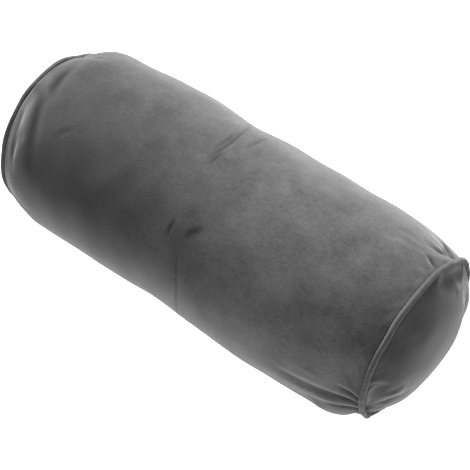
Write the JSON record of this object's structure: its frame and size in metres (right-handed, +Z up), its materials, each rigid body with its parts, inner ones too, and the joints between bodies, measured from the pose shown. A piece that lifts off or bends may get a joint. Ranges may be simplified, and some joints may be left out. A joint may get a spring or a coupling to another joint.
{
  "type": "neck roll pillow",
  "caption": "Filled cylindrical neck roll pillow in plain grey velour, with crowned end rounds and a piped seam at each end, lying on its side.",
  "frame": {"origin": "on the resting face, under the middle of the pillow's box", "axes": "+X along the roll towards the end with the fuller crown, +Z up, +Y to the back"},
  "size_m": [0.3752, 0.1548, 0.1486],
  "materials": {
    "velour": "soft short-pile velour with sheen",
    "piping_velour": "the same velour stretched over cord"
  },
  "bodies": {
    "root": {"roll": "velour", "end_round_far": "velour", "end_round_near": "velour", "piping_far": "piping_velour", "piping_near": "piping_velour"}
  },
  "joints": []
}
